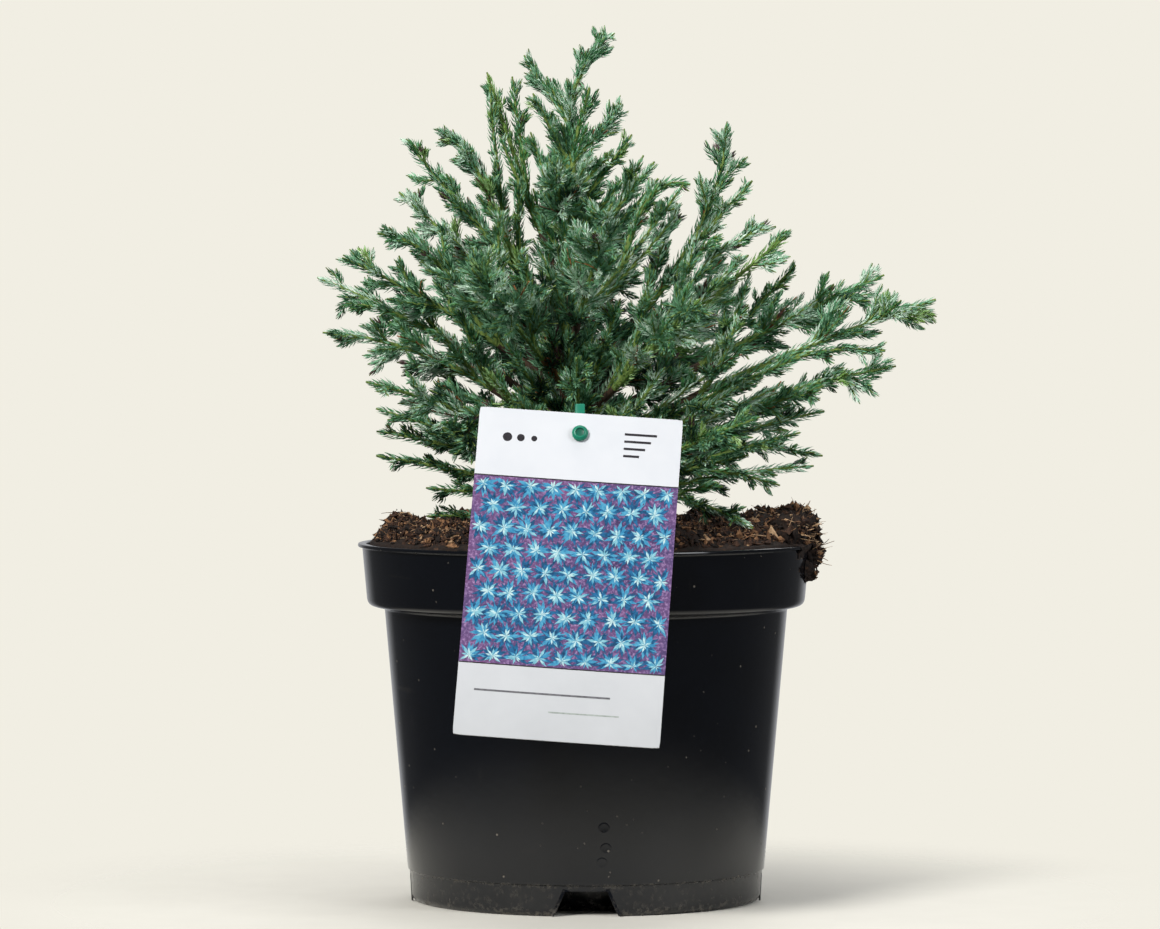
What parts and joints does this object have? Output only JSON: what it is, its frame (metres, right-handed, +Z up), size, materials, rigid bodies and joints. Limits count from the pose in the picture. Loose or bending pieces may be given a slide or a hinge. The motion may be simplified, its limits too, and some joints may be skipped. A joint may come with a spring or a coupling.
{
  "type": "potted dwarf sawara cypress",
  "caption": "Young blue-green dwarf conifer with feathery plumes, in a tapered black nursery pot with a leaning picture tag.",
  "frame": {"origin": "centre of the pot's flat underside, on the surface that the pot stands on", "axes": "+Z up, -Y towards the front where the picture tag leans, +X to the right as seen from the front"},
  "size_m": [0.2579, 0.2339, 0.3657],
  "materials": {
    "pot_plastic": "satin",
    "peat": "matte",
    "bark": "matte",
    "needles": "matte",
    "tag_card": "satin",
    "holder_plastic": "satin"
  },
  "bodies": {
    "root": {"pot": "pot_plastic", "peat": "peat", "peat_over_rim": "peat", "main_stem": "bark", "picture_tag": "tag_card", "tag_holder": "holder_plastic", "bough_second_leader": "bark", "bough_upper_left": "bark", "bough_upper_left_low": "bark", "bough_left_high": "bark", "bough_far_left": "bark", "bough_far_left_low": "bark", "bough_left_middle": "bark", "bough_right_leader": "bark", "bough_right_high": "bark", "bough_far_right_high": "bark", "bough_far_right": "bark", "bough_far_right_low": "bark", "bough_front_high": "bark", "bough_front_left": "bark", "bough_front_right": "bark", "bough_back_high": "bark", "bough_back_left": "bark", "bough_back_right": "bark", "bough_back_middle": "bark", "foliage_crown_tip": "needles", "foliage_crown_left": "needles", "foliage_crown_right": "needles", "foliage_crown_back": "needles", "foliage_crown_front": "needles", "foliage_inner_right": "needles", "foliage_second_leader": "needles", "foliage_upper_left": "needles", "foliage_upper_left_low": "needles", "foliage_left_high": "needles", "foliage_far_left": "needles", "foliage_far_left_low": "needles", "foliage_left_middle": "needles", "foliage_left_low": "needles", "foliage_left_foot": "needles", "foliage_left_ground": "needles", "foliage_right_leader": "needles", "foliage_inner_right_front": "needles", "foliage_right_high": "needles", "foliage_far_right_high": "needles", "foliage_far_right": "needles", "foliage_far_right_low": "needles", "foliage_right_low": "needles", "foliage_right_foot": "needles", "foliage_front_high": "needles", "foliage_front_left": "needles", "foliage_front_right": "needles", "foliage_front_low_left": "needles", "foliage_front_low_right": "needles", "foliage_back_high": "needles", "foliage_back_left": "needles", "foliage_back_right": "needles", "foliage_back_middle": "needles", "foliage_back_low_left": "needles", "foliage_back_low_right": "needles"}
  },
  "joints": []
}
